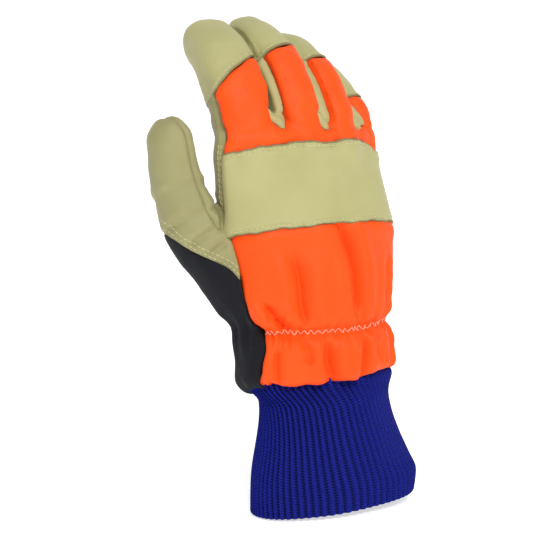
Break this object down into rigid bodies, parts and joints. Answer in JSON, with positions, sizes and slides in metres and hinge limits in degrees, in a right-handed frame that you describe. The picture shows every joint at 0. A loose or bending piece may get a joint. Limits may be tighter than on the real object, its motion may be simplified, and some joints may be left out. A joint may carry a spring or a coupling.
{
  "type": "chainsaw glove",
  "caption": "Right-hand forestry work glove with leather palm and finger caps, padded bright back, leather knuckle strap, elastic wrist and ribbed knit cuff.",
  "frame": {"origin": "centre of the wrist opening, at the middle of the knitted cuff's lower edge", "axes": "+Z from the wrist towards the fingers, -Y out of the back of the hand, -X towards the thumb"},
  "size_m": [0.1479, 0.1379, 0.2753],
  "materials": {
    "grain_leather": "soft matte grain",
    "padded_fabric": "smooth satin weave",
    "dark_cloth": "matte twill",
    "ribbed_knit": "ribbed knit"
  },
  "bodies": {
    "root": {"knuckle_strap": "grain_leather", "index_tip": "grain_leather", "middle_tip": "grain_leather", "ring_tip": "grain_leather", "little_tip": "grain_leather", "thumb_front": "grain_leather", "thumb_back": "grain_leather", "fourchette_index_middle": "grain_leather", "fourchette_middle_ring": "grain_leather", "fourchette_ring_little": "grain_leather", "palm_panel": "grain_leather", "back_panel": "padded_fabric", "heel_panel": "dark_cloth", "knit_cuff": "ribbed_knit"}
  },
  "joints": []
}
